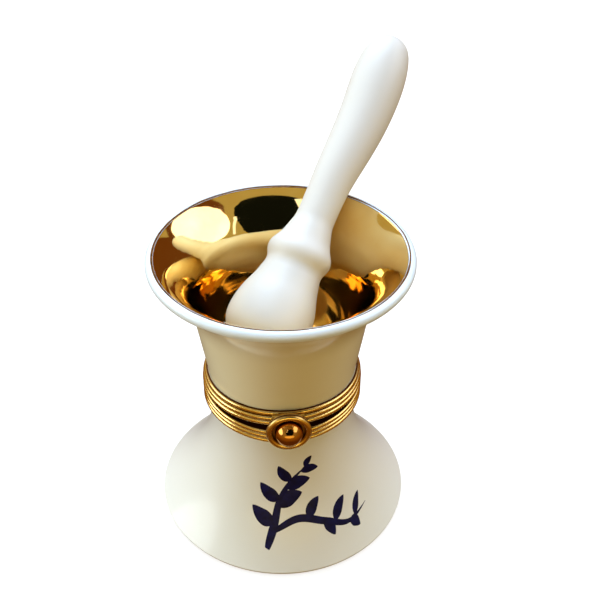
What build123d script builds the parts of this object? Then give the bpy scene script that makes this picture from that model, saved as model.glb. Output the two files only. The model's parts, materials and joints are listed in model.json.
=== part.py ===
from build123d import *
import os

# A porcelain pill box shaped as a mortar and pestle. The flared base hides a pill compartment; the
# gilt-lined mortar bowl is its lid, hinged at the back on ribbed brass mounts and closed at the front
# by a sprung clasp. A loose porcelain pestle leans in the bowl.
# Millimetres. +Z is up, the clasp faces -Y, and Z = 0 is the plane that the foot ring stands on.

# Base
FOOT_R = 23.4
FOOT_ROUND = 0.9
FOOT_RING_R = 19.4
FOOT_RECESS = 1.6
NECK_R = 13.0
NECK_Z = 22.0
BASE_TOP_Z = 26.1
MOUTH_R = 11.0
COMPARTMENT_R = 17.4
COMPARTMENT_FLOOR_Z = 4.2
COMPARTMENT_ROUND = 1.5

# Bowl. Its hollow is a flat floor, a round corner, a cone and a flare that all meet smoothly.
BOWL_FLOOR_Z = 33.2
BOWL_FLOOR_R = 4.8
BOWL_CORNER_R = 8.0
CONE_ANGLE = 81.7
CONE_LENGTH = 1.9
FLARE_R = 18.0
FLARE_TURN = 48.0
BOWL_WALL = 1.9
BOWL_BOTTOM_R = 12.9
BOWL_BOTTOM_Z = 29.0
BOWL_RECESS_R = 11.2
BOWL_RECESS_Z = 31.2
GILDING = 0.12

# Ribbed mounts
RIB_R = 0.44
RIB_PITCH = 0.93
MOUNT_WALL_R = 13.85
MOUNT_INNER_R = 13.3
LOWER_BOTTOM_Z = 24.2
UPPER_BOTTOM_Z = 28.15
MOUNT_HEIGHT = 3 * RIB_PITCH
FLANGE = 0.55
BEDDING = 0.3
BEZEL_R = 12.2
BEZEL_WALL = 0.45
BEZEL_TOP_Z = 28.75
LID_CLEARANCE = 0.2
LOWER_TOP_Z = LOWER_BOTTOM_Z + MOUNT_HEIGHT
PARTING_Z = (LOWER_TOP_Z + UPPER_BOTTOM_Z) / 2

# Hinge
HINGE_Y = 15.7
KNUCKLE_R = 1.25
KNUCKLE_LENGTH = 3.0
KNUCKLE_GAP = 0.1
LEAF_Y = 15.0
LEAF_HEIGHT = 1.45
LEAF_RISE = 1.4
PIN_R = 0.55
PIN_CLEARANCE = 0.05
PIN_HEAD_R = 0.95
PIN_HEAD = 0.35

# Clasp
CLASP_Z = 28.1
RING_R = 3.9
RING_WIRE_R = 0.56
PLATE_R = 3.6
PLATE = 0.35
CABOCHON_R = 2.42
CABOCHON_HEIGHT = 2.9
CABOCHON_FULLNESS = 0.58
TONGUE_R = 14.45
TONGUE = 0.4
TONGUE_HALF_WIDTH = 2.75
TONGUE_TOP_Z = 31.0
TONGUE_BOTTOM_Z = 24.5
BEAD_R = 0.3
BEAD_LENGTH = 3.2
BEAD_CLEARANCE = 0.05

# Pestle: where its lowest end is, how far it leans from upright and which way it turns from +Y
PESTLE_FOOT = (-4.8, -5.6, 37.1)
PESTLE_LEAN = 51.9
PESTLE_TURN = 34.6
PESTLE_LENGTH = 62.9


# The range of Y in front of the compartment's mouth, where the clasp and its catch are
FRONT = (-FOOT_R, -MOUTH_R)


def turned(edges):
    """Revolve a closed outline, drawn as (radius, height), about the vertical axis."""
    return revolve(Plane.XZ * make_face(edges), Axis.Z)


def loop(*points):
    """A closed outline with straight sides."""
    return Polyline(*points, close=True)


def make_base():
    """The slip-cast base: a hollow bell with a mouth at the top and a foot ring below."""
    wall_start = (FOOT_R, FOOT_ROUND)
    flare = Bezier(wall_start, (NECK_R, (FOOT_ROUND + NECK_Z) / 2), (NECK_R, NECK_Z))
    foot = RadiusArc((FOOT_R - FOOT_ROUND, 0), wall_start, -FOOT_ROUND)
    inside = Polyline(
        (NECK_R, NECK_Z),
        (NECK_R, BASE_TOP_Z),
        (0, BASE_TOP_Z),
        (0, FOOT_RECESS),
        (FOOT_RING_R, FOOT_RECESS),
        (FOOT_RING_R + FOOT_RECESS / 2, 0),
        (FOOT_R - FOOT_ROUND, 0),
    )
    return turned([foot, flare, inside]) - make_compartment()


def make_compartment():
    """The space for pills, which follows the outside of the base one wall in."""
    floor_r = COMPARTMENT_R - COMPARTMENT_ROUND
    shoulder = (COMPARTMENT_R, COMPARTMENT_FLOOR_Z + COMPARTMENT_ROUND)
    corner = RadiusArc((floor_r, COMPARTMENT_FLOOR_Z), shoulder, -COMPARTMENT_ROUND)
    side = Bezier(shoulder, (MOUTH_R, (shoulder[1] + NECK_Z) / 2), (MOUTH_R, NECK_Z))
    rest = Polyline(
        (MOUTH_R, NECK_Z),
        (MOUTH_R, BASE_TOP_Z + 1),
        (0, BASE_TOP_Z + 1),
        (0, COMPARTMENT_FLOOR_Z),
        (floor_r, COMPARTMENT_FLOOR_Z),
    )
    return turned([corner, side, rest])


def bowl_contour(growth):
    """The hollow's side from the middle of its floor to the lip, moved outwards by growth."""
    floor_z = BOWL_FLOOR_Z - growth
    floor = Line((0, floor_z), (BOWL_FLOOR_R, floor_z))
    corner = JernArc(floor @ 1, floor % 1, BOWL_CORNER_R + growth, CONE_ANGLE)
    cone = Line(corner @ 1, corner @ 1 + (corner % 1) * CONE_LENGTH)
    flare = JernArc(cone @ 1, cone % 1, FLARE_R - growth, -FLARE_TURN)
    return [floor, corner, cone, flare]


def make_hollow(growth):
    """The hollow of the bowl as a solid, closed by a flat top above the lip."""
    contour = bowl_contour(growth)
    rim = contour[-1] @ 1
    top = rim.Y + BOWL_WALL
    closing = Polyline(rim, rim + contour[-1] % 1 * BOWL_WALL, (0, top + BOWL_WALL), contour[0] @ 0)
    return turned([*contour, closing])


def make_bowl():
    """The mortar bowl: a cone that flares into a round lip, recessed underneath."""
    inner = bowl_contour(0)[-1]
    outer = bowl_contour(BOWL_WALL)[-1]
    lip = TangentArc(outer @ 1, inner @ 1, tangent=outer % 1)
    close = Polyline(
        inner @ 1,
        (0, (inner @ 1).Y),
        (0, BOWL_RECESS_Z),
        (BOWL_RECESS_R, BOWL_RECESS_Z),
        (BOWL_RECESS_R, BOWL_BOTTOM_Z),
        (BOWL_BOTTOM_R, BOWL_BOTTOM_Z),
        outer @ 0,
    )
    return turned([outer, lip, close]) - make_hollow(GILDING)


def make_gilding(bowl):
    """The gold lining: the thin shell between the bowl's hollow and its porcelain."""
    inner = bowl_contour(0)
    outer = bowl_contour(GILDING)
    edge = Line(inner[-1] @ 1, outer[-1] @ 1)
    axis = Line(inner[0] @ 0, outer[0] @ 0)
    return turned([*inner, edge, *outer, axis]) - bowl


def rib_outline(bottom, radii):
    """Half-round ribs one above the other, from the bottom edge of a mount to its top edge."""
    edges = []
    last = None
    for row, radius in enumerate(radii):
        middle = bottom + RIB_PITCH * (row + 0.5)
        low = (radius, middle - RIB_R)
        high = (radius, middle + RIB_R)
        if last:
            edges.append(Line(last, low))
        edges.append(ThreePointArc(low, (radius + RIB_R, middle), high))
        last = high
    return edges


def make_lower_mount():
    """The ribbed band round the neck, with a flange over the porcelain's lip."""
    ribs = rib_outline(LOWER_BOTTOM_Z, [MOUNT_WALL_R] * 3)
    wall = Polyline(
        ribs[-1] @ 1,
        (MOUNT_WALL_R, LOWER_TOP_Z),
        (BEZEL_R, LOWER_TOP_Z),
        (BEZEL_R, LOWER_TOP_Z - FLANGE),
        (MOUNT_INNER_R, LOWER_TOP_Z - FLANGE),
        (MOUNT_INNER_R, LOWER_BOTTOM_Z),
        (MOUNT_WALL_R, LOWER_BOTTOM_Z),
        ribs[0] @ 0,
    )
    return turned([*ribs, wall])


def make_upper_mount():
    """The ribbed band round the foot of the bowl, which narrows upwards with the bowl."""
    ribs = rib_outline(UPPER_BOTTOM_Z, [MOUNT_WALL_R, MOUNT_WALL_R - 0.1, MOUNT_WALL_R - 0.35])
    top = UPPER_BOTTOM_Z + MOUNT_HEIGHT
    flange_r = BEZEL_R + LID_CLEARANCE
    wall = Polyline(
        ribs[-1] @ 1,
        ((ribs[-1] @ 1).X, top),
        (MOUNT_INNER_R, top),
        (MOUNT_INNER_R, UPPER_BOTTOM_Z + FLANGE),
        (flange_r, UPPER_BOTTOM_Z + FLANGE),
        (flange_r, UPPER_BOTTOM_Z),
        (MOUNT_WALL_R, UPPER_BOTTOM_Z),
        ribs[0] @ 0,
    )
    return turned([*ribs, wall])


def make_bezel():
    """The upright strip inside the lower mount that steadies the closed lid."""
    inner = BEZEL_R - BEZEL_WALL
    bottom = LOWER_TOP_Z - FLANGE
    return turned(
        loop((inner, bottom), (BEZEL_R, bottom), (BEZEL_R, BEZEL_TOP_Z), (inner, BEZEL_TOP_Z))
    )


def make_lower_bedding():
    """Cement between the neck of the base and the lower mount."""
    flange_z = LOWER_TOP_Z - FLANGE
    inner = BEZEL_R - BEZEL_WALL
    bottom = LOWER_BOTTOM_Z + BEDDING
    return turned(
        loop(
            (inner, BASE_TOP_Z),
            (NECK_R, BASE_TOP_Z),
            (NECK_R, bottom),
            (MOUNT_INNER_R, bottom),
            (MOUNT_INNER_R, flange_z),
            (inner, flange_z),
        )
    )


def make_upper_bedding(bowl):
    """Cement between the foot of the bowl and the upper mount."""
    bottom = UPPER_BOTTOM_Z + FLANGE
    top = UPPER_BOTTOM_Z + MOUNT_HEIGHT - BEDDING
    inner = BEZEL_R + LID_CLEARANCE
    block = turned(loop((inner, bottom), (MOUNT_INNER_R, bottom), (MOUNT_INNER_R, top), (inner, top)))
    return block - bowl


def block(x_size, y_range, z_range, x_middle=0):
    """A box given by its width across the hinge and its reach in Y and Z."""
    y_size = y_range[1] - y_range[0]
    z_size = z_range[1] - z_range[0]
    middle = (x_middle, sum(y_range) / 2, sum(z_range) / 2)
    return Pos(*middle) * Box(x_size, y_size, z_size)


def rod(radius, length, x_middle=0):
    """A cylinder along the hinge axis."""
    return Pos(x_middle, HINGE_Y, PARTING_Z) * Rot(0, 90, 0) * Cylinder(radius, length)


def make_hinge_leaf(mount, knuckle_middles, side):
    """A plate soldered to the back of a mount, with its knuckles. side is +1 above, -1 below."""
    width = 3 * KNUCKLE_LENGTH
    near = PARTING_Z + side * LEAF_RISE
    far = near + side * LEAF_HEIGHT
    leaf = block(width, (MOUNT_INNER_R, LEAF_Y), sorted((near, far)))
    web_z = sorted((PARTING_Z + side * PIN_R, near + side * PIN_R))
    knuckle = KNUCKLE_LENGTH - KNUCKLE_GAP
    for middle in knuckle_middles:
        leaf += block(knuckle, (MOUNT_INNER_R, HINGE_Y), web_z, middle)
        leaf += rod(KNUCKLE_R, knuckle, middle)
    bore = rod(PIN_R + PIN_CLEARANCE, 2 * width)
    core = turned(loop((0, 0), (MOUNT_WALL_R, 0), (MOUNT_WALL_R, BOWL_FLOOR_Z), (0, BOWL_FLOOR_Z)))
    return leaf - core - mount - bore


def make_hinge_pin():
    """The hinge pin, with a riveted head at each end."""
    half = 1.5 * KNUCKLE_LENGTH
    pin = rod(PIN_R, 2 * half)
    for side in (-1, 1):
        pin += rod(PIN_HEAD_R, PIN_HEAD, side * (half + PIN_HEAD / 2))
    return pin


def facing(y, z):
    """A plane that looks towards the front, along -Y, with its origin on the clasp's middle line."""
    return Plane(origin=(0, y, z), x_dir=(1, 0, 0), z_dir=(0, -1, 0))


def make_clasp_tongue():
    """The curved spring strip behind the clasp, soldered by its top to the upper mount."""
    strip = turned(
        loop(
            (TONGUE_R, TONGUE_BOTTOM_Z),
            (TONGUE_R + TONGUE, TONGUE_BOTTOM_Z),
            (TONGUE_R + TONGUE, TONGUE_TOP_Z),
            (TONGUE_R, TONGUE_TOP_Z),
        )
    )
    return strip & block(2 * TONGUE_HALF_WIDTH, FRONT, (TONGUE_BOTTOM_Z, TONGUE_TOP_Z))


def make_clasp_plate(tongue):
    """The round plate on the tongue that carries the ring and the cabochon."""
    back = TONGUE_R + TONGUE - PLATE / 2
    plate = extrude(facing(-back, CLASP_Z) * Circle(PLATE_R), PLATE * 1.5)
    return plate - tongue


def make_clasp_ring():
    """The thick round ring about the cabochon, flattened where it sits on the plate."""
    middle_r = RING_R - RING_WIRE_R
    section = Pos(middle_r, RING_WIRE_R / 2) * Circle(RING_WIRE_R)
    section &= Pos(middle_r, RING_WIRE_R) * Rectangle(4 * RING_WIRE_R, 2 * RING_WIRE_R)
    ring = revolve(Plane.XZ * section, Axis.Z)
    return facing(-(TONGUE_R + TONGUE + PLATE), CLASP_Z) * ring


def make_clasp_cabochon():
    """The polished dome in the middle of the clasp."""
    seat = -(TONGUE_R + TONGUE + PLATE)
    foot = (CABOCHON_R, 0)
    apex = (0, CABOCHON_HEIGHT)
    shoulder = (CABOCHON_R, CABOCHON_HEIGHT * CABOCHON_FULLNESS)
    crown = (CABOCHON_R * CABOCHON_FULLNESS, CABOCHON_HEIGHT)
    face = make_face([Bezier(foot, shoulder, crown, apex), Polyline(apex, (0, 0), foot)])
    dome = revolve(Plane.XZ * face, Axis.Z)
    return facing(seat, CLASP_Z) * dome


def make_catch_bead(lower_mount):
    """The small half-round bar on the lower mount that the tongue snaps over."""
    middle_r = TONGUE_R - BEAD_CLEARANCE - BEAD_R
    section = Pos(middle_r, LOWER_BOTTOM_Z + 2 * RIB_PITCH) * Circle(BEAD_R)
    wire = revolve(Plane.XZ * section, Axis.Z)
    return wire & block(BEAD_LENGTH, FRONT, (LOWER_BOTTOM_Z, LOWER_TOP_Z)) - lower_mount


def make_pestle():
    """The pestle about its own axis: a broad head, a collar and a club-shaped handle."""
    shoulder = (5.0, 16.6)
    waist = (3.45, 28.0)
    head = Spline(
        (0, 0),
        (4.2, 0.9),
        (6.9, 3.4),
        (7.45, 6.4),
        (6.5, 11.2),
        shoulder,
        tangents=[(1, 0), (-0.2, 1)],
    )
    collar = Spline(
        shoulder,
        (5.85, 19.1),
        (4.7, 21.4),
        (3.7, 24.6),
        waist,
        tangents=[(0.5, 0.9), (0, 1)],
    )
    handle = Spline(
        waist,
        (4.05, 38.5),
        (4.7, 48.5),
        (4.85, 54.0),
        (4.3, 58.9),
        (2.8, 62.0),
        (0, PESTLE_LENGTH),
        tangents=[(0, 1), (-1, 0)],
    )
    axis = Line((0, PESTLE_LENGTH), (0, 0))
    body = turned([head, collar, handle, axis])
    placed = Pos(*PESTLE_FOOT) * Rot(0, 0, -PESTLE_TURN) * Rot(-PESTLE_LEAN, 0, 0)
    return placed * body


def make_parts():
    bowl = make_bowl()
    lower_mount = make_lower_mount()
    upper_mount = make_upper_mount()
    tongue = make_clasp_tongue()
    plate = make_clasp_plate(tongue)
    return {
        "base": make_base(),
        "lower_mount": lower_mount,
        "lower_bedding": make_lower_bedding(),
        "inner_bezel": make_bezel(),
        "lower_hinge_leaf": make_hinge_leaf(lower_mount, (-KNUCKLE_LENGTH, KNUCKLE_LENGTH), -1),
        "hinge_pin": make_hinge_pin(),
        "catch_bead": make_catch_bead(lower_mount),
        "bowl": bowl,
        "bowl_gilding": make_gilding(bowl),
        "upper_mount": upper_mount,
        "upper_bedding": make_upper_bedding(bowl),
        "upper_hinge_leaf": make_hinge_leaf(upper_mount, (0,), 1),
        "clasp_tongue": tongue,
        "clasp_plate": plate,
        "clasp_ring": make_clasp_ring(),
        "clasp_cabochon": make_clasp_cabochon(),
        "pestle": make_pestle(),
    }


os.makedirs("parts", exist_ok=True)
for name, shape in make_parts().items():
    export_step(shape, f"parts/{name}.step")
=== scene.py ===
import json
import math

import bmesh
import bpy
import numpy as np
from mathutils import Matrix, Vector, noise


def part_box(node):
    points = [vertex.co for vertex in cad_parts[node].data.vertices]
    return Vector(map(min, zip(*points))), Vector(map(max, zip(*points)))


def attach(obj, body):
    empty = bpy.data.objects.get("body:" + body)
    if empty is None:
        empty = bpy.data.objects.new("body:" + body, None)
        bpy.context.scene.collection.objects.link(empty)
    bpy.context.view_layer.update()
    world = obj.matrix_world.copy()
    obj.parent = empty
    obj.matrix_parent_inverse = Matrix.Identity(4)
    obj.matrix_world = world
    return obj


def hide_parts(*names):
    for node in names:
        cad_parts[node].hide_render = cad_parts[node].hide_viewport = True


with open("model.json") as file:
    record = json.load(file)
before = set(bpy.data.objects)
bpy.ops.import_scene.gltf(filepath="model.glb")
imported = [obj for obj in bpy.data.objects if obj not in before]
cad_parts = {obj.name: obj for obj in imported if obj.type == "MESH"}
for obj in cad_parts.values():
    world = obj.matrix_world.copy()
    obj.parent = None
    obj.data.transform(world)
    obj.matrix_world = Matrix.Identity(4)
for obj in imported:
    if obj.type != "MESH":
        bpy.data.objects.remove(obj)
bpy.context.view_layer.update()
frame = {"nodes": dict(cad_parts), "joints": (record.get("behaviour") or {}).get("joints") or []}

# The looks of a porcelain pill box shaped as a mortar and pestle. Metres, +Z up, the clasp faces -Y.
MM = 0.001

# Sizes read from the frame
FOOT_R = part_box("base")[1].x
BASE_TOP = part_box("base")[1].z
BOWL_LOW, BOWL_HIGH = (corner.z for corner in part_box("bowl"))
LOWER_LOW, LOWER_HIGH = (corner.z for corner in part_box("lower_mount"))
UPPER_LOW, UPPER_HIGH = (corner.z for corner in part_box("upper_mount"))
RIB_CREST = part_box("lower_mount")[1].x
BEZEL_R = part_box("inner_bezel")[1].x
BEZEL_LOW, BEZEL_HIGH = (corner.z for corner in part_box("inner_bezel"))
BEDDING_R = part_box("lower_bedding")[1].x
GILDING_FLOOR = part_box("bowl_gilding")[0].z

# Sizes inside the pieces, which their boxes don't show. Angles are in degrees.
NECK_R = 13.0 * MM
NECK_Z = 22.0 * MM
FOOT_ROUND = 0.9 * MM
FOOT_RING_R = 19.4 * MM
FOOT_RECESS = 1.6 * MM
MOUTH_R = 11.0 * MM
COMPARTMENT_R = 17.4 * MM
COMPARTMENT_FLOOR = 4.2 * MM
COMPARTMENT_ROUND = 1.5 * MM
GILDING = 0.12 * MM
BOWL_WALL = 1.9 * MM
BOWL_FLOOR_R = 4.8 * MM
BOWL_CORNER_R = 8.0 * MM
CONE_ANGLE = 81.7
CONE_LENGTH = 1.9 * MM
FLARE_R = 18.0 * MM
FLARE_TURN = 48.0
BOWL_FOOT_R = 12.9 * MM
BOWL_RECESS_R = 11.2 * MM
BOWL_RECESS_DEPTH = 2.2 * MM
RIB_R = 0.44 * MM
FLANGE = 0.55 * MM
LID_CLEARANCE = 0.2 * MM
BEZEL_WALL = 0.45 * MM
LEAF_Y = 15.0 * MM
LEAF_HEIGHT = 1.45 * MM
LEAF_EDGE = 0.18 * MM
KNUCKLE_GAP = 0.05 * MM
PIN_R = 0.55 * MM
PIN_HEAD = 0.35 * MM
CLASP_WIRE_R = 0.56 * MM
CLASP_PLATE = 0.5 * MM
TONGUE = 0.4 * MM

# What the hand adds to the true shapes: the wander of slip-cast walls, how far the gold laps round the
# lip, how far the mounts are drawn together, and the bow of the pestle's head and handle, with the
# shares of its length where the head ends and the handle starts
SLIP_WANDER = 0.05 * MM
GILT_LAP = 31.0
MOUNT_SPRING = 0.42 * MM
HEAD_BOW = 0.4 * MM
HANDLE_BOW = 0.8 * MM
HEAD_SHARE = 0.27
WAIST_SHARE = 0.49


# ---------------------------------------------------------------- outlines, as (radius, height)


def walk(start, heading, moves, step=0.25 * MM):
    """Follow moves of (turn in degrees, size): no turn is a straight run, else an arc of that radius."""
    points = [start]
    angle = math.radians(heading)
    for turn, size in moves:
        swing = math.radians(turn)
        length = size if not turn else size * abs(swing)
        count = max(2, math.ceil(length / step))
        for _ in range(count):
            middle = angle + swing / count / 2
            chord = length / count
            if turn:
                chord = 2 * size * math.sin(abs(swing) / count / 2)
            x, y = points[-1]
            points.append((x + chord * math.cos(middle), y + chord * math.sin(middle)))
            angle += swing / count
    return points


def bend(start, control, end, count=48):
    """A quadratic curve, both ends included."""
    points = []
    for i in range(count + 1):
        t = i / count
        a, b, c = (1 - t) ** 2, 2 * t * (1 - t), t * t
        points.append(tuple(a * p + b * q + c * r for p, q, r in zip(start, control, end)))
    return points


def rounded(corners, steps=5):
    """A closed outline whose corners, (x, y, radius), are rounded."""
    points = []
    for i, (x, y, radius) in enumerate(corners):
        here = Vector((x, y))
        if not radius:
            points.append((x, y))
            continue
        before = (Vector(corners[i - 1][:2]) - here).normalized()
        after = (Vector(corners[(i + 1) % len(corners)][:2]) - here).normalized()
        half = before.angle(after) / 2
        start = before * (radius / math.tan(half))
        end = after * (radius / math.tan(half))
        centre = (before + after).normalized() * (radius / math.sin(half))
        for k in range(steps + 1):
            spoke = (start - centre).slerp(end - centre, k / steps)
            points.append(tuple(here + centre + spoke * radius))
    return points


def through(points, count):
    """A smooth curve through points of any size, spaced by how far apart they are."""
    known = np.array(points, float)
    gaps = np.linalg.norm(np.diff(known, axis=0), axis=1)
    marks = np.concatenate([[0], np.cumsum(gaps)])
    slopes = np.gradient(known, marks, axis=0)
    places = np.linspace(0, marks[-1], count)
    spans = np.clip(np.searchsorted(marks, places, side="right") - 1, 0, len(gaps) - 1)
    t = ((places - marks[spans]) / gaps[spans])[:, None]
    width = gaps[spans][:, None]
    return (
        (2 * t**3 - 3 * t**2 + 1) * known[spans]
        + (t**3 - 2 * t**2 + t) * width * slopes[spans]
        + (3 * t**2 - 2 * t**3) * known[spans + 1]
        + (t**3 - t**2) * width * slopes[spans + 1]
    )


# ---------------------------------------------------------------- meshes


def lathe(outline, turns=288):
    """Turn a closed outline about +Z. It is a list of points, or a function that gives one for an angle."""
    mesh = bmesh.new()
    poles = {}
    rings = []
    for turn in range(turns):
        angle = 2 * math.pi * turn / turns
        points = outline(angle) if callable(outline) else outline
        ring = []
        for row, (radius, height) in enumerate(points):
            if radius > 1e-9:
                place = (radius * math.sin(angle), -radius * math.cos(angle), height)
                ring.append(mesh.verts.new(place))
                continue
            if row not in poles:
                poles[row] = mesh.verts.new((0, 0, height))
            ring.append(poles[row])
        rings.append(ring)
    sew(mesh, rings)
    return mesh


def sew(mesh, rings, closed=True):
    """Join rings of corners, each a closed loop, by faces; closed also joins the last to the first."""
    for index in range(len(rings) - (not closed)):
        here, there = rings[index], rings[(index + 1) % len(rings)]
        for row in range(len(here)):
            following = (row + 1) % len(here)
            corners = dict.fromkeys((here[row], here[following], there[following], there[row]))
            if len(corners) > 2:
                mesh.faces.new(list(corners))


def cap(mesh, ring, middle):
    """Close a ring of corners with a fan about a middle point."""
    hub = mesh.verts.new(middle)
    for row, corner in enumerate(ring):
        mesh.faces.new((corner, ring[(row + 1) % len(ring)], hub))


def tube(centres, radii, sides=96):
    """A closed solid about a line of centres, with a radius at each."""
    mesh = bmesh.new()
    up = Vector((0, 0, 1))
    rings = []
    for index, (centre, radius) in enumerate(zip(centres, radii)):
        ahead = centres[min(index + 1, len(centres) - 1)] - centres[max(index - 1, 0)]
        across = ahead.cross(up).normalized()
        over = across.cross(ahead).normalized()
        ring = []
        for side in range(sides):
            angle = 2 * math.pi * side / sides
            spoke = across * math.cos(angle) + over * math.sin(angle)
            ring.append(mesh.verts.new(centre + spoke * radius))
        rings.append(ring)
    sew(mesh, rings, closed=False)
    cap(mesh, rings[0], centres[0])
    cap(mesh, rings[-1], centres[-1])
    return mesh


def solid_block(low, high, edge):
    """A block between two corners with rounded edges."""
    mesh = bmesh.new()
    bmesh.ops.create_cube(mesh, size=1)
    for corner in mesh.verts:
        share = corner.co + Vector((0.5, 0.5, 0.5))
        corner.co = Vector(low[axis] + share[axis] * (high[axis] - low[axis]) for axis in range(3))
    bmesh.ops.bevel(mesh, geom=mesh.edges, offset=edge, segments=3, profile=0.5, affect="EDGES")
    return mesh


def joined(*meshes):
    """Several meshes as one."""
    whole = bmesh.new()
    for mesh in meshes:
        data = bpy.data.meshes.new("joined")
        mesh.to_mesh(data)
        mesh.free()
        whole.from_mesh(data)
        bpy.data.meshes.remove(data)
    return whole


def moved(mesh, matrix):
    """The same mesh, moved by a matrix."""
    mesh.transform(matrix)
    return mesh


def piece(name, mesh, finishes, body, nodes=(), crease=35):
    """Make a piece that rides on a body, takes its finish from a slot and stands for CAD nodes."""
    bmesh.ops.recalc_face_normals(mesh, faces=mesh.faces)
    data = bpy.data.meshes.new(name)
    mesh.to_mesh(data)
    mesh.free()
    data.shade_smooth()
    data.set_sharp_from_angle(angle=math.radians(crease))
    for finish in finishes:
        data.materials.append(finish)
    made = bpy.data.objects.new(name, data)
    bpy.context.scene.collection.objects.link(made)
    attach(made, body)
    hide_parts(*nodes)
    return made


# ---------------------------------------------------------------- materials


def blank(name, **values):
    """A new material and its shader, with values on the shader's own sockets."""
    made = bpy.data.materials.new(name)
    made.use_nodes = True
    shader = made.node_tree.nodes["Principled BSDF"]
    for socket, value in values.items():
        shader.inputs[socket.replace("_", " ")].default_value = value
    return made, shader


def add(tree, kind, links=None, inputs=None, **settings):
    """Add a node with its settings, its input values and its links from other nodes' outputs."""
    made = tree.nodes.new("ShaderNode" + kind)
    for key, value in settings.items():
        setattr(made, key, value)
    for socket, value in (inputs or {}).items():
        made.inputs[socket].default_value = value
    for socket, source in (links or {}).items():
        tree.links.new(source, made.inputs[socket])
    return made


def object_place(tree):
    """The place on the piece, in metres, for its textures."""
    return add(tree, "TexCoord").outputs["Object"]


def clouds(tree, place, size, detail=2.0):
    """Noise whose features are about that size across."""
    made = add(tree, "TexNoise", {"Vector": place}, {"Scale": 1 / size, "Detail": detail})
    return made.outputs["Fac"]


def ramp(tree, fac, *stops):
    """A colour ramp of (position, colour or grey) stops."""
    made = add(tree, "ValToRGB", {"Fac": fac})
    elements = made.color_ramp.elements
    while len(elements) < len(stops):
        elements.new(1)
    for element, (position, colour) in zip(elements, stops):
        element.position = position
        element.color = (*colour, 1) if isinstance(colour, tuple) else (colour,) * 3 + (1,)
    return made.outputs["Color"]


def mixed(tree, fac, first, second):
    """Mix two colours, each a tuple or an output, by a number's output."""
    made = tree.nodes.new("ShaderNodeMix")
    made.data_type = "RGBA"
    tree.links.new(fac, made.inputs["Factor"])
    for socket, colour in ((made.inputs[6], first), (made.inputs[7], second)):
        if isinstance(colour, tuple):
            socket.default_value = (*colour, 1)
        else:
            tree.links.new(colour, socket)
    return made.outputs[2]


def bump(tree, shader, height, depth, strength=1.0):
    """Bump the shader's normal by a height that stands for depth metres."""
    made = add(tree, "Bump", {"Height": height}, {"Distance": depth, "Strength": strength})
    tree.links.new(made.outputs["Normal"], shader.inputs["Normal"])


def porcelain(name, light, shade, gloss, dullness, painted_light_crown=None):
    """Porcelain: two close whites, pin-prick specks and a faint orange peel, under a coat of glaze.

    Towards the top, from a given height up, the white turns colder and bluer: painted light, for the cold
    overhead light that falls on the bowl's lip.
    """
    made, shader = blank(name, IOR=1.5, Coat_Weight=gloss, Coat_Roughness=0.1, Coat_IOR=1.45)
    tree = made.node_tree
    place = object_place(tree)
    tone = mixed(tree, clouds(tree, place, 9 * MM, 1), shade, light)
    if painted_light_crown:
        height = add(tree, "SeparateXYZ", {"Vector": place}).outputs["Z"]
        limits = {"From Min": painted_light_crown - 2.6 * MM, "From Max": painted_light_crown - 0.8 * MM}
        share = add(tree, "MapRange", {"Value": height}, limits).outputs["Result"]
        # painted light: towards the lip the white turns colder and bluer
        tone = mixed(tree, share, tone, (0.80, 0.90, 1.0))
    speck = add(tree, "TexVoronoi", {"Vector": place}, {"Scale": 1 / (2.6 * MM)})
    pricks = ramp(tree, speck.outputs["Distance"], (0.0, 0.45), (0.028, 0.0))
    tree.links.new(mixed(tree, pricks, tone, (0.30, 0.22, 0.14)), shader.inputs["Base Color"])
    sheen = ramp(tree, clouds(tree, place, 4 * MM), (0.3, dullness), (0.7, dullness + 0.06))
    tree.links.new(sheen, shader.inputs["Roughness"])
    bump(tree, shader, clouds(tree, place, 2.5 * MM, 0), 0.008 * MM)
    return made


def biscuit():
    """Unglazed porcelain of the foot ring, rubbed and a little sandy."""
    made, shader = blank("biscuit_porcelain", Roughness=0.75, IOR=1.5)
    tree = made.node_tree
    place = object_place(tree)
    grime = clouds(tree, place, 2.5 * MM, 5)
    colour = ramp(tree, grime, (0.35, (0.52, 0.46, 0.37)), (0.7, (0.75, 0.71, 0.64)))
    tree.links.new(colour, shader.inputs["Base Color"])
    bump(tree, shader, clouds(tree, place, 0.25 * MM, 3), 0.03 * MM)
    return made


def burnished_gold():
    """The bowl's bright gold: uneven, with faint rings from the wheel, duller near the floor, and redder and
    darker there as a painted reflection of the gold's repeated bounces in the hollow.
    """
    made, shader = blank("burnished_gold", Metallic=1.0)
    tree = made.node_tree
    place = object_place(tree)
    height = add(tree, "SeparateXYZ", {"Vector": place}).outputs["Z"]
    limits = {"From Min": GILDING_FLOOR + 9 * MM, "From Max": GILDING_FLOOR + 2 * MM}
    depth = add(tree, "MapRange", {"Value": height}, limits).outputs["Result"]
    patches = clouds(tree, place, 6 * MM, 4)
    bright = ramp(tree, patches, (0.3, (0.97, 0.69, 0.26)), (0.7, (1.0, 0.77, 0.34)))
    # painted reflection: the gold turns redder and darker towards the bowl's floor
    colour = mixed(tree, depth, bright, (0.92, 0.55, 0.15))
    tree.links.new(colour, shader.inputs["Base Color"])
    polish = ramp(tree, clouds(tree, place, 3 * MM, 5), (0.35, 0.03), (0.75, 0.08))
    tree.links.new(mixed(tree, depth, polish, (0.12, 0.12, 0.12)), shader.inputs["Roughness"])
    stretched = add(tree, "Mapping", {"Vector": place}, {"Scale": (1, 1, 9)})
    rings = clouds(tree, stretched.outputs["Vector"], 11 * MM, 1)
    bump(tree, shader, rings, 0.05 * MM, 0.5)
    return made


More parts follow.
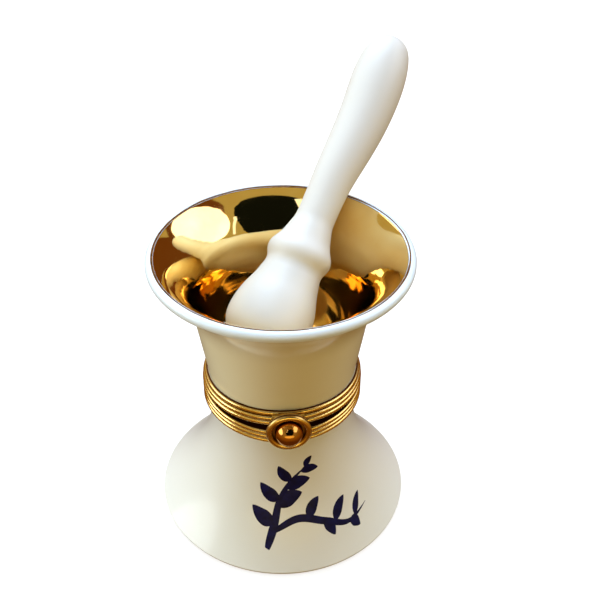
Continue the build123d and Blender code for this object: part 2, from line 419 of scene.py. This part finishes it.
def cast_brass():
    """Gold-coloured brass of the mounts: bright on the crests, red-brown where the polish can't reach, which
    is patina and painted shade together.
    """
    made, shader = blank("cast_brass", Metallic=1.0)
    tree = made.node_tree
    place = object_place(tree)
    hollow = add(tree, "Attribute", attribute_name="hollow").outputs["Fac"]
    patches = clouds(tree, place, 1.2 * MM, 5)
    bright = ramp(tree, patches, (0.3, (1.0, 0.67, 0.22)), (0.7, (1.0, 0.79, 0.34)))
    # patina and painted shade: the brass darkens to red-brown in its hollows
    patina_and_shade = ramp(tree, hollow, (0.36, 0.0), (0.85, 1.0))
    colour = mixed(tree, patina_and_shade, bright, (0.08, 0.020, 0.003))
    tree.links.new(colour, shader.inputs["Base Color"])
    dull = add(tree, "MapRange", {"Value": hollow}, {"To Min": 0.12, "To Max": 0.5})
    tree.links.new(dull.outputs["Result"], shader.inputs["Roughness"])
    bump(tree, shader, clouds(tree, place, 0.35 * MM, 3), 0.02 * MM)
    return made


def lacquered_brass():
    """The clasp's dome: brass darker and browner than the mounts', under a clear lacquer."""
    made, shader = blank("lacquered_brass", Metallic=1.0, Coat_Weight=0.4, Coat_Roughness=0.06)
    tree = made.node_tree
    place = object_place(tree)
    patches = clouds(tree, place, 1.5 * MM, 4)
    colour = ramp(tree, patches, (0.3, (0.50, 0.22, 0.035)), (0.7, (0.68, 0.34, 0.07)))
    tree.links.new(colour, shader.inputs["Base Color"])
    polish = ramp(tree, clouds(tree, place, 0.5 * MM, 3), (0.3, 0.08), (0.8, 0.14))
    tree.links.new(polish, shader.inputs["Roughness"])
    return made


def bole_and_painted_reflection():
    """The red-brown ground where the gold's brushed edge runs out, darkened into a painted reflection: the
    thin dark line seen just inside the lip.
    """
    made, shader = blank("gilders_bole_and_painted_reflection", Roughness=0.7, IOR=1.2)
    tree = made.node_tree
    wear = clouds(tree, object_place(tree), 0.8 * MM, 3)
    colour = ramp(tree, wear, (0.35, (0.08, 0.028, 0.004)), (0.75, (0.21, 0.08, 0.014)))
    tree.links.new(colour, shader.inputs["Base Color"])
    return made


def plaster():
    """The grey-white cement that beds the mounts."""
    made, shader = blank("plaster", Roughness=0.9)
    tree = made.node_tree
    place = object_place(tree)
    grains = clouds(tree, place, 0.6 * MM, 5)
    colour = ramp(tree, grains, (0.35, (0.50, 0.47, 0.41)), (0.7, (0.72, 0.70, 0.65)))
    tree.links.new(colour, shader.inputs["Base Color"])
    bump(tree, shader, clouds(tree, place, 0.2 * MM, 4), 0.05 * MM)
    return made


def cobalt():
    """Blue brushwork sunk in the glaze: darker where the brush left more paint."""
    made, shader = blank("cobalt_blue", Roughness=0.35, IOR=1.25)
    tree = made.node_tree
    place = object_place(tree)
    load = clouds(tree, place, 1.5 * MM, 4)
    colour = ramp(tree, load, (0.35, (0.002, 0.002, 0.030)), (0.8, (0.005, 0.007, 0.085)))
    tree.links.new(colour, shader.inputs["Base Color"])
    return made


BASE_PORCELAIN = porcelain("base_porcelain", (0.81, 0.82, 0.81), (0.79, 0.80, 0.78), 0.6, 0.3)
# The bowl's white is yellower than the base's: an ivory glaze with a painted tint of the warm brown light its
# wall takes from the table.
BOWL_PORCELAIN = porcelain(
    "bowl_porcelain", (0.83, 0.77, 0.56), (0.81, 0.75, 0.535), 0.6, 0.3, painted_light_crown=BOWL_HIGH
)
COOL_PORCELAIN = porcelain("cool_porcelain", (0.73, 0.71, 0.69), (0.72, 0.70, 0.675), 0.12, 0.42)
BISCUIT = biscuit()
GOLD = burnished_gold()
BRASS = cast_brass()
LACQUER = lacquered_brass()
PLASTER = plaster()
BOLE_AND_PAINTED_REFLECTION = bole_and_painted_reflection()
COBALT = cobalt()


# ---------------------------------------------------------------- porcelain


def unevenness(angle, height):
    """How far a slip-cast wall stands inside its true round, between 0 and its whole wander."""
    place = Vector((math.sin(angle), math.cos(angle), height * 60))
    return SLIP_WANDER * (0.5 + 0.5 * noise.noise(place * 1.3))


def flare_radius(height):
    """The base's outside radius at a height above the rounded foot."""
    share = (height - FOOT_ROUND) / (NECK_Z - FOOT_ROUND)
    return NECK_R + (FOOT_R - NECK_R) * max(0, 1 - share) ** 2


def base_outline():
    """Up the outside, over the mouth, down into the compartment and under the foot."""
    foot = walk((FOOT_R - FOOT_ROUND, 0), 0, [(90, FOOT_ROUND)], 0.12 * MM)
    side_z = (FOOT_ROUND + NECK_Z) / 2
    outside = bend((FOOT_R, FOOT_ROUND), (NECK_R, side_z), (NECK_R, NECK_Z), 96)
    edge = 0.4 * MM
    mouth = walk((NECK_R, BASE_TOP - edge), 90, [(90, edge)], 0.1 * MM)
    mouth += walk((MOUTH_R + edge, BASE_TOP), 180, [(90, edge)], 0.1 * MM)
    shoulder = COMPARTMENT_FLOOR + COMPARTMENT_ROUND
    inside = bend(
        (MOUTH_R, NECK_Z), (MOUTH_R, (shoulder + NECK_Z) / 2), (COMPARTMENT_R, shoulder), 48
    )
    corner = walk((COMPARTMENT_R, shoulder), -90, [(-90, COMPARTMENT_ROUND)], 0.2 * MM)
    under = bend((0, FOOT_RECESS), (FOOT_RING_R * 0.7, FOOT_RECESS * 0.96), (FOOT_RING_R, FOOT_RECESS), 12)
    ring = rounded(
        [
            (FOOT_RING_R, FOOT_RECESS, 0),
            (FOOT_RING_R + FOOT_RECESS / 2, 0, 0.25 * MM),
            (FOOT_R - FOOT_ROUND, 0, 0),
        ]
    )[1:-1]
    return foot + outside[1:] + mouth + inside + corner[1:] + [(0, COMPARTMENT_FLOOR)] + under + ring


def make_base():
    """The bell-shaped base, slip cast, glazed all over but for the foot ring."""
    outline = base_outline()

    def uneven(angle):
        return [(max(0, r - unevenness(angle, z)) if r else 0, z) for r, z in outline]

    made = piece("glazed_base", lathe(uneven), [BASE_PORCELAIN, BISCUIT], "base", ["base"])
    for face in made.data.polygons:
        r = face.center.xy.length
        if face.center.z < 0.12 * MM and r > FOOT_RING_R:
            face.material_index = 1


def hollow_moves(growth):
    """The moves from the middle of the bowl's floor to the lip, one growth outside the hollow."""
    return [
        (0, BOWL_FLOOR_R),
        (CONE_ANGLE, BOWL_CORNER_R + growth),
        (0, CONE_LENGTH),
        (-FLARE_TURN, FLARE_R - growth),
    ]


def hollow(growth):
    """The side of the bowl's hollow, from the middle of its floor to the lip, one growth outside it."""
    floor = GILDING_FLOOR + GILDING - growth
    return walk((0, floor), 0, hollow_moves(growth))


def make_bowl():
    """The mortar bowl with its round lip, recessed underneath."""
    inside = hollow(GILDING)
    outside = walk((0, GILDING_FLOOR + GILDING - BOWL_WALL), 0, hollow_moves(BOWL_WALL))
    flare_steps = math.ceil((FLARE_R - BOWL_WALL) * math.radians(FLARE_TURN) / (0.25 * MM))
    flare = outside[-flare_steps - 1 :]
    lip = walk(outside[-1], CONE_ANGLE - FLARE_TURN, [(180, BOWL_WALL / 2)], 0.12 * MM)
    recess_z = BOWL_LOW + BOWL_RECESS_DEPTH
    foot = rounded(
        [
            (0, recess_z, 0),
            (BOWL_RECESS_R, recess_z, 0.3 * MM),
            (BOWL_RECESS_R, BOWL_LOW, 0.3 * MM),
            (BOWL_FOOT_R, BOWL_LOW, 0.3 * MM),
            (*flare[0], 0),
        ]
    )[:-1]
    wall_start = np.array(foot[-1])
    side = [tuple(wall_start + (np.array(flare[0]) - wall_start) * i / 24) for i in range(1, 24)]
    outline = foot + side + flare + lip[1:-1] + inside[::-1]

    def uneven(angle):
        return [(r - unevenness(angle, z) if r > GILDING else r, z) for r, z in outline]

    piece("porcelain_bowl", lathe(uneven), [BOWL_PORCELAIN], "lid", ["bowl"])


def make_gilding():
    """The gold lining, whose brushed edge laps a hair over the lip."""
    inside = hollow(0)
    outside = hollow(GILDING * 0.8)
    rim = Vector(inside[-1])
    heading = math.radians(CONE_ANGLE - FLARE_TURN)
    centre = rim + Vector((math.sin(heading), -math.cos(heading))) * (BOWL_WALL / 2)

    def lapped(angle):
        wander = noise.noise(Vector((math.sin(angle), math.cos(angle), 0)) * 3.0)
        wander += 0.4 * noise.noise(Vector((math.sin(angle), math.cos(angle), 5)) * 11.0)
        reach = math.radians(GILT_LAP + 5 * wander)
        lap = []
        for share in (0.33, 0.66, 1.0):
            turn = heading + math.pi / 2 - reach * share
            spoke = Vector((math.cos(turn), math.sin(turn)))
            lap.append(tuple(centre + spoke * (BOWL_WALL / 2 + 0.012 * MM)))
        return inside + lap + outside[::-1]

    made = piece("gold_lining", lathe(lapped, 360), [GOLD, BOLE_AND_PAINTED_REFLECTION], "lid", ["bowl_gilding"])
    # The lap over the lip takes the dark bole finish: bole, and a painted reflection of the thin dark line
    # inside the lip.
    lip_r = centre.x
    for face in made.data.polygons:
        past = math.atan2(face.center.z - centre.y, face.center.xy.length - lip_r)
        if face.center.z > centre.y and past < heading + math.pi / 2 - math.radians(1):
            face.material_index = 1


# ---------------------------------------------------------------- brass


def mark_patina_and_shade(made, depth_at):
    """Store on each corner how deep it lies where polish can't reach, from 0 to 1: how far patina and painted
    shade darken it.
    """
    values = [min(1.0, max(0.0, depth_at(corner.co))) for corner in made.data.vertices]
    made.data.attributes.new("hollow", "FLOAT", "POINT").data.foreach_set("value", values)


def ribs(bottom, pitch, radii):
    """Three half-round ribs, one above the other, with a fine groove between them."""
    points = []
    for row, radius in enumerate(radii):
        middle = bottom + pitch * (row + 0.5)
        points += walk((radius, middle - RIB_R), 0, [(180, RIB_R)], 0.07 * MM)
    return points


def closing(angle):
    """How far the mounts are drawn together at an angle: least at the clasp, most at the sides and back."""
    away = min(1.0, math.degrees(abs(math.remainder(angle, 2 * math.pi))) / 75)
    return MOUNT_SPRING * (3 * away**2 - 2 * away**3 - 0.3)


def mount(name, body, node, bottom, top, crests, inner_r, side):
    """A ribbed band and its flange, on one side of the parting: -1 below it or 1 above."""
    pitch = (top - bottom) / 3
    near, far = (top, bottom) if side < 0 else (bottom, top)
    step = near + side * FLANGE
    rest = [(inner_r, near), (inner_r, step), (BEDDING_R, step), (BEDDING_R, far)]
    outline = ribs(bottom, pitch, [crest - RIB_R for crest in crests]) + rest[:: -side]

    def crimped(angle):
        shift = closing(angle) * -side
        return [(r - 0.4 * unevenness(angle, z), z + shift) for r, z in outline]

    made = piece(name, lathe(crimped, 360), [BRASS], body, [node])

    def depth(place):
        radius = place.xy.length
        height = place.z + side * closing(math.atan2(place.x, -place.y)) - bottom
        row = min(2, max(0, int(height / pitch)))
        # patina and painted shade: the inner faces against the bedding are dark, and the grooves between the
        # ribs darken with their depth
        if radius < BEDDING_R + 0.05 * MM:
            return 0.9
        return (crests[row] - 0.02 * MM - radius) / RIB_R

    mark_patina_and_shade(made, depth)


def make_mounts():
    """The ribbed mounts on both sides of the parting. The upper one's ribs step in towards the bowl."""
    crests = [RIB_CREST] * 3
    mount("lower_band", "base", "lower_mount", LOWER_LOW, LOWER_HIGH, crests, BEZEL_R, -1)
    crests = [RIB_CREST, RIB_CREST - 0.1 * MM, RIB_CREST - 0.35 * MM]
    mount("upper_band", "lid", "upper_mount", UPPER_LOW, UPPER_HIGH, crests, BEZEL_R + LID_CLEARANCE, 1)


def make_bezel():
    """The steadying strip inside the lower mount, with a softened top edge."""
    inner = BEZEL_R - BEZEL_WALL
    edge = 0.12 * MM
    outline = rounded(
        [
            (inner, BEZEL_LOW, 0),
            (BEZEL_R, BEZEL_LOW, 0),
            (BEZEL_R, BEZEL_HIGH, edge),
            (inner, BEZEL_HIGH, edge),
        ]
    )
    made = piece("bezel_strip", lathe(outline), [BRASS], "base", ["inner_bezel"])
    # patina and painted shade: the strip darkens towards its foot inside the mount
    mark_patina_and_shade(made, lambda place: 0.7 - (place.z - BEZEL_LOW) / (BEZEL_HIGH - BEZEL_LOW))


def refinish(name, finish):
    """Give a CAD node that keeps its shape a finish."""
    node = frame["nodes"][name]
    node.data.materials.clear()
    node.data.materials.append(finish)


def x_rod(low_x, high_x, radius, edge, y, z):
    """A rod along X with rounded ends."""
    outline = rounded([(0, low_x, 0), (radius, low_x, edge), (radius, high_x, edge), (0, high_x, 0)])
    mesh = lathe(outline, 48)
    return moved(mesh, Matrix.Translation((0, y, z)) @ Matrix.Rotation(math.radians(90), 4, "Y"))


def make_leaf(name, body, node, side, rows, y, z):
    """A leaf soldered to a mount, with knuckles at some rows of three: side is -1 below the pin, 1 above."""
    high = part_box("lower_hinge_leaf")[1]
    half = high.x
    knuckle = half * 2 / 3
    radius = high.y - y
    wall = RIB_CREST - RIB_R - 0.1 * MM
    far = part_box(node)[0 if side < 0 else 1].z
    near = far - side * LEAF_HEIGHT
    parts = [solid_block((-half, wall, min(near, far)), (half, LEAF_Y, max(near, far)), LEAF_EDGE)]
    for row in rows:
        middle = row * knuckle
        ends = (middle - knuckle / 2 + KNUCKLE_GAP, middle + knuckle / 2 - KNUCKLE_GAP)
        parts.append(x_rod(*ends, radius, LEAF_EDGE, y, z))
        web = sorted((z + side * radius * 0.45, near + side * 0.4 * MM))
        parts.append(solid_block((ends[0], wall, web[0]), (ends[1], y, web[1]), 0.1 * MM))
    made = piece(name, joined(*parts), [BRASS], body, [node])
    # patina and painted shade: the leaf darkens towards the mount it is soldered to
    mark_patina_and_shade(made, lambda place: 0.9 - (place.y - wall) / (y - wall))


def make_pin(y, z):
    """The hinge pin, with a riveted head at each end."""
    low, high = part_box("hinge_pin")
    head_r = high.z - z
    shaft = x_rod(low.x + PIN_HEAD / 2, high.x - PIN_HEAD / 2, PIN_R, 0.05 * MM, y, z)
    heads = [
        x_rod(low.x, low.x + PIN_HEAD, head_r, 0.15 * MM, y, z),
        x_rod(high.x - PIN_HEAD, high.x, head_r, 0.15 * MM, y, z),
    ]
    made = piece("riveted_pin", joined(shaft, *heads), [BRASS], "base", ["hinge_pin"])
    mark_patina_and_shade(made, lambda place: 0.2)


def make_hinge():
    """Two leaves with interlocking knuckles on a pin."""
    hinge = next(joint for joint in frame["joints"] if joint["name"] == "lid_hinge")
    _, y, z = hinge["pos_m"]
    make_leaf("lower_leaf", "base", "lower_hinge_leaf", -1, (-1, 1), y, z)
    make_leaf("upper_leaf", "lid", "upper_hinge_leaf", 1, (0,), y, z)
    make_pin(y, z)


def towards_front(x, y, z):
    """Turn a lathe's axis to face -Y and move its foot to a place."""
    return Matrix.Translation((x, y, z)) @ Matrix.Rotation(math.radians(90), 4, "X")


def make_clasp_ring(seat, z):
    """The thick round ring, flattened where it sits on the plate."""
    low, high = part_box("clasp_ring")
    middle_r = high.x - CLASP_WIRE_R
    section = []
    for degrees in range(-30, 211, 8):
        turn = math.radians(degrees)
        height = CLASP_WIRE_R / 2 + CLASP_WIRE_R * math.sin(turn)
        section.append((middle_r + CLASP_WIRE_R * math.cos(turn), height))
    ring = moved(lathe(section, 120), towards_front(0, seat, z))
    made = piece("clasp_rim", ring, [BRASS], "clasp", ["clasp_ring"])
    # patina and painted shade: the ring darkens towards the plate it sits on
    mark_patina_and_shade(made, lambda place: (place.y - low.y) / (seat - low.y) + 0.2)


def make_clasp_dome(seat, z):
    """The polished dome, a little fuller than an ellipse."""
    low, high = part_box("clasp_cabochon")
    rise = seat - low.y
    outline = [(0, 0)]
    for step in range(32):
        turn = math.radians(90 * step / 32)
        outline.append((high.x * math.cos(turn) ** 0.92, rise * math.sin(turn) ** 0.94))
    outline.append((0, rise))
    dome = moved(lathe(outline, 96), towards_front(0, seat, z))
    piece("clasp_dome", dome, [LACQUER], "clasp", ["clasp_cabochon"])


def make_clasp_plate(seat, z):
    """The round plate behind the ring and the dome."""
    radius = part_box("clasp_plate")[1].x
    outline = rounded(
        [
            (0, 0, 0),
            (radius, 0, 0.05 * MM),
            (radius, CLASP_PLATE, 0.1 * MM),
            (0, CLASP_PLATE, 0),
        ]
    )
    plate = moved(lathe(outline, 96), towards_front(0, seat + CLASP_PLATE, z))
    made = piece("clasp_plate_disc", plate, [BRASS], "clasp", ["clasp_plate"])
    # patina and painted shade: the plate behind the ring and the dome is darkened evenly
    mark_patina_and_shade(made, lambda place: 0.6)


def make_tongue():
    """The spring strip, curved about the axis of the box."""
    low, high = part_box("clasp_tongue")
    outer = -low.y
    half = math.asin(high.x / outer)
    edge = 0.1 * MM
    section = rounded(
        [
            (outer - TONGUE, low.z, edge),
            (outer, low.z, edge),
            (outer, high.z, edge),
            (outer - TONGUE, high.z, edge),
        ],
        3,
    )
    strip = bmesh.new()
    rings = []
    for step in range(25):
        angle = half * (step / 12 - 1)
        ring = [strip.verts.new((r * math.sin(angle), -r * math.cos(angle), height)) for r, height in section]
        rings.append(ring)
    sew(strip, rings, closed=False)
    strip.faces.new(rings[0])
    strip.faces.new(rings[-1])
    made = piece("spring_tongue", strip, [BRASS], "clasp", ["clasp_tongue"])
    # patina and painted shade: the tongue, hidden behind the plate, is darkened evenly
    mark_patina_and_shade(made, lambda place: 0.5)


def make_clasp():
    """The sprung clasp: a ring and a dome on a round plate, on a curved tongue."""
    low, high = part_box("clasp_ring")
    seat = high.y
    z = (low.z + high.z) / 2
    make_clasp_ring(seat, z)
    make_clasp_dome(seat, z)
    make_clasp_plate(seat, z)
    make_tongue()


# ---------------------------------------------------------------- pestle


def make_pestle():
    """The pestle: turned to its CAD solid's profile, then bowed a little, as by hand."""
    corners = np.array([corner.co for corner in frame["nodes"]["pestle"].data.vertices], float)
    axis = np.linalg.svd(corners - corners.mean(axis=0), full_matrices=False)[2][0]
    axis *= np.sign(axis[2])
    for _ in range(3):
        reach = corners @ axis
        foot = corners[reach.argmin()]
        axis = corners[reach.argmax()] - foot
        length = np.linalg.norm(axis)
        axis /= length
    height = (corners - foot) @ axis
    radius = np.linalg.norm(corners - foot - height[:, None] * axis, axis=1)
    turned = []
    for level in np.unique(np.round(height, 5)):
        ring = np.abs(height - level) < 0.01 * MM
        if not turned or level - turned[-1][0] > 0.3 * MM:
            turned.append((height[ring].mean(), radius[ring].mean()))
    line = through(turned, 300)[1:-1]
    line[4:-4, 1] = np.convolve(line[:, 1], np.full(9, 1 / 9), "valid")
    side = Vector(axis).cross(Vector((0, -1, 0))).normalized()
    centres = [Vector(foot) + Vector(axis) * place + side * pestle_bow(place / length) for place, _ in line]
    mesh = tube(centres, line[:, 1])
    piece("porcelain_pestle", mesh, [COOL_PORCELAIN], "pestle", ["pestle"])


def pestle_bow(share):
    """How far the pestle's middle line stands to one side: the head one way, the handle the other."""
    if share < HEAD_SHARE:
        return -HEAD_BOW * math.cos(math.pi / 2 * share / HEAD_SHARE) ** 2
    if share < WAIST_SHARE:
        return 0.0
    return HANDLE_BOW * math.sin(math.pi * (share - WAIST_SHARE) / (1 - WAIST_SHARE)) ** 2


# ---------------------------------------------------------------- painted sprig


# A stroke's section, as (share of its half width, lift in millimetres): domed above, rooted in the glaze
STROKE_SECTION = ((-1, -0.03), (-0.8, 0.012), (0, 0.03), (0.8, 0.012), (1, -0.03), (0, -0.12))


def on_base(across, height, lift):
    """A place on the outside of the base: across along its round, up to a height, and lift above it."""
    radius = flare_radius(height)
    angle = across / radius
    slope = (flare_radius(height + 0.1 * MM) - flare_radius(height - 0.1 * MM)) / (0.2 * MM)
    outward = Vector((math.sin(angle), -math.cos(angle), -slope)).normalized()
    inset = unevenness(angle, height)
    place = Vector((math.sin(angle), -math.cos(angle), 0)) * (radius - inset)
    return place + Vector((0, 0, height)) + outward * lift


def stroke(points, width, belly=0.5, root=0.0):
    """A brush stroke through (across, height) points in millimetres: widest at a share of its length,
    belly, and drawn out to its ends, but for a share of its width, root, kept at its start."""
    line = through(np.array(points) * MM, 40)
    mesh = bmesh.new()
    rings = []
    for index, place in enumerate(line):
        share = index / (len(line) - 1)
        ahead = line[min(index + 1, len(line) - 1)] - line[max(index - 1, 0)]
        ahead /= np.linalg.norm(ahead)
        across = np.array([-ahead[1], ahead[0]])
        rise = share / belly if share < belly else (1 - share) / (1 - belly)
        fullness = root * (1 - share) + (1 - root) * math.sin(rise * math.pi / 2) ** 0.7
        half = width * MM / 2 * max(0.05, fullness)
        ring = []
        for offset, lift in STROKE_SECTION:
            where = place + across * half * offset
            ring.append(mesh.verts.new(on_base(where[0], where[1], lift * MM)))
        rings.append(ring)
    sew(mesh, rings, closed=False)
    mesh.faces.new(rings[0])
    mesh.faces.new(rings[-1])
    return mesh


def leaf(root, direction, length, width):
    """One leaf: a single pressed and lifted brush touch, a little curved. Millimetres and degrees."""
    turn = math.radians(direction)
    ahead = Vector((math.cos(turn), math.sin(turn)))
    left = Vector((-ahead.y, ahead.x))
    start = Vector(root)
    points = [start, start + ahead * length * 0.5 + left * length * 0.09, start + ahead * length]
    return stroke([tuple(p) for p in points], width, belly=0.42)


def make_sprig():
    """A herb sprig in blue brushwork on the front of the base."""
    stem = [(-4.4, 3.9), (-2.9, 7.3), (-1.8, 11.0), (0.4, 14.6), (3.4, 17.4)]
    branch = [(-3.1, 6.4), (1.5, 8.2), (6.5, 6.9), (11.5, 5.3), (16.4, 6.0)]
    marks = [stroke(stem, 1.9, 0.2, 0.5), stroke(branch, 1.6, 0.3, 0.4)]
    for root, direction, length, width in (
        ((-2.7, 7.8), 152, 4.6, 2.5),
        ((-1.9, 10.2), 28, 4.8, 2.6),
        ((-1.6, 11.4), 142, 4.4, 2.3),
        ((-0.4, 13.3), 18, 4.5, 2.3),
        ((0.6, 14.7), 128, 3.8, 1.9),
        ((2.2, 16.3), 0, 3.3, 1.6),
        ((3.0, 17.0), 58, 2.4, 1.2),
        ((3.4, 7.8), 58, 3.8, 2.0),
        ((6.2, 7.0), -48, 3.4, 1.8),
        ((8.6, 6.2), 54, 3.8, 2.0),
        ((11.8, 5.3), -30, 2.8, 1.5),
        ((13.2, 5.4), 62, 3.2, 1.6),
    ):
        marks.append(leaf(root, direction, length, width * 1.2))
    piece("painted_sprig", joined(*marks), [COBALT], "base", [], 60)


# ---------------------------------------------------------------- stage

# Metres and degrees. Colours are linear.
STUDIO_CENTRE = Vector((0, 0, 45 * MM))
SOFTBOX_DISTANCE = 0.55
BACKDROP_R = 2.0
BACKDROP_Z = -0.02 * MM
TABLE_NEAR = (0.13, 0.045, 0.005)
TABLE_FAR = (0.36, 0.16, 0.012)
TENT_LOW = (0.38, 0.24, 0.05)
TENT = (0.46, 0.36, 0.14)
CAMERA_PLACE = Vector((-8.59, -126.0, 138.64)) * MM
CAMERA_AHEAD = Vector((0.0745, 0.7975, -0.5987)).normalized()
CAMERA_ROLL = 0.35
CAMERA_LENS = 55.43


def towards(azimuth, elevation):
    """The direction to a place round the object: azimuth 0 is the front, -Y, and 90 is +X."""
    a, e = math.radians(azimuth), math.radians(elevation)
    return Vector((math.sin(a) * math.cos(e), -math.cos(a) * math.cos(e), math.sin(e)))


def facing(direction, distance):
    """A matrix that places something in that direction and turns its +Z to the object."""
    turn = direction.to_track_quat("Z", "Y").to_matrix().to_4x4()
    return Matrix.Translation(STUDIO_CENTRE + direction * distance) @ turn


def glow(name, colour, strength=1.0):
    """A surface that gives its own light and reflects none."""
    made, shader = blank(name, Emission_Strength=strength, Roughness=1.0)
    shader.inputs["Base Color"].default_value = (0, 0, 0, 1)
    shader.inputs["Specular IOR Level"].default_value = 0
    shader.inputs["Emission Color"].default_value = (*colour, 1)
    return made


def card(name, azimuth, elevation, half_angles, distance, finish, corner=0.06):
    """A card out of the camera's sight that covers half_angles each way as the object sees it."""
    half_x, half_y = (distance * math.tan(math.radians(angle)) for angle in half_angles)
    quarters = ((-1, -1), (1, -1), (1, 1), (-1, 1))
    corners = [(x * half_x, y * half_y, corner) for x, y in quarters]
    mesh = bmesh.new()
    mesh.faces.new([mesh.verts.new((x, y, 0)) for x, y in rounded(corners, 8)])
    data = bpy.data.meshes.new(name)
    mesh.to_mesh(data)
    mesh.free()
    data.materials.append(finish)
    made = bpy.data.objects.new(name, data)
    made.matrix_world = facing(towards(azimuth, elevation), distance)
    made.visible_camera = False
    bpy.context.scene.collection.objects.link(made)


def softbox(name, azimuth, elevation, half_angles, radiance, colour, reflected=True):
    """A soft light that covers half_angles each way as the object sees it, with a given brightness."""
    data = bpy.data.lights.new(name, "AREA")
    data.shape = "ELLIPSE"
    data.size, data.size_y = (2 * SOFTBOX_DISTANCE * math.tan(math.radians(angle)) for angle in half_angles)
    area = data.size * data.size_y * math.pi / 4
    data.energy = radiance * math.pi * area
    data.color = colour
    made = bpy.data.objects.new(name, data)
    made.matrix_world = facing(towards(azimuth, elevation), SOFTBOX_DISTANCE)
    made.visible_glossy = reflected
    bpy.context.scene.collection.objects.link(made)


def make_tent():
    """The surroundings: a cream tent above a brown table, lighter upwards and darkest underfoot."""
    world = bpy.data.worlds.new("studio")
    bpy.context.scene.world = world
    world.use_nodes = True
    tree = world.node_tree
    place = add(tree, "TexCoord").outputs["Generated"]
    rise = add(tree, "SeparateXYZ", {"Vector": place}).outputs["Z"]
    level = add(tree, "MapRange", {"Value": rise}, {"From Min": -1.0, "From Max": 1.0})
    stops = ((0.2, TABLE_NEAR), (0.42, TABLE_FAR), (0.56, TENT_LOW), (0.70, TENT))
    tones = ramp(tree, level.outputs["Result"], *stops)
    tree.links.new(tones, tree.nodes["Background"].inputs["Color"])


def make_backdrop():
    """The pale floor and walls that only the camera sees. The table's brown comes from the surroundings."""
    paper, shader = blank("pale_paper", Roughness=0.9, Emission_Strength=0.75)
    shader.inputs["Base Color"].default_value = (0.35, 0.35, 0.35, 1)
    shader.inputs["Emission Color"].default_value = (1, 1, 1, 1)
    outline = walk((0, BACKDROP_Z), 0, [(0, BACKDROP_R), (180, BACKDROP_R)], BACKDROP_R / 12)
    outline[-1] = (0, outline[-1][1])
    mesh = lathe(outline, 48)
    data = bpy.data.meshes.new("backdrop")
    mesh.to_mesh(data)
    mesh.free()
    data.materials.append(paper)
    backdrop = bpy.data.objects.new("backdrop", data)
    backdrop.visible_diffuse = False
    backdrop.visible_glossy = False
    backdrop.visible_shadow = False
    bpy.context.scene.collection.objects.link(backdrop)


def make_studio():
    """Cards and softboxes round the object. The fills light it without showing in the gold."""
    make_tent()
    make_backdrop()
    dark = glow("dark_card", (0.005, 0.006, 0.004))
    bright = glow("bright_card", (1.0, 1.02, 1.1), 1.4)
    brown = glow("brown_card", (0.14, 0.045, 0.008))
    card("opening", 4, 50, (33, 25), 0.40, dark, 0.13)
    card("right_strip", 56, 38, (1.5, 10), 0.42, bright, 0.008)
    card("left_strip", -36, 58, (3, 12), 0.42, bright, 0.01)
    card("back_right", 142, 10, (24, 20), 0.45, brown)
    card("softbox_rim", 105, 40, (23, 22), 0.60, brown, 0.15)
    softbox("right_softbox", 95, 38, (27, 18), 2.4, (1.0, 0.98, 0.98))
    softbox("left_softbox", -92, 17, (24, 17), 3.3, (0.9, 0.97, 1.0))
    softbox("overhead_softbox", 180, 76, (24, 14), 5.0, (0.42, 0.66, 1.0))
    softbox("back_softbox", -170, 52, (26, 24), 2.4, (0.95, 0.98, 1.0))
    softbox("front_softbox", 0, 12, (40, 10), 1.25, (1.0, 0.74, 0.24))
    softbox("overhead_fill", 0, 84, (34, 18), 2.7, (0.42, 0.68, 1.0), False)
    softbox("left_fill", -84, -4, (28, 18), 2.1, (0.72, 0.95, 1.0), False)
    softbox("right_fill", 84, -4, (28, 18), 0.8, (0.75, 1.0, 0.75), False)


def make_camera():
    """The camera, above the front and a little to the left, and a plain rendering of its tones."""
    data = bpy.data.cameras.new("camera")
    data.lens = CAMERA_LENS
    data.sensor_width = 36
    data.clip_start = 0.005
    camera = bpy.data.objects.new("camera", data)
    turn = (-CAMERA_AHEAD).to_track_quat("Z", "Y").to_matrix().to_4x4()
    roll = Matrix.Rotation(math.radians(CAMERA_ROLL), 4, "Z")
    camera.matrix_world = Matrix.Translation(CAMERA_PLACE) @ turn @ roll
    bpy.context.scene.collection.objects.link(camera)
    bpy.context.scene.camera = camera
    bpy.context.scene.view_settings.view_transform = "Standard"


make_base()
make_bowl()
make_gilding()
make_mounts()
make_bezel()
make_hinge()
make_clasp()
refinish("lower_bedding", PLASTER)
refinish("upper_bedding", PLASTER)
refinish("catch_bead", BRASS)
make_pestle()
make_sprig()
make_studio()
make_camera()
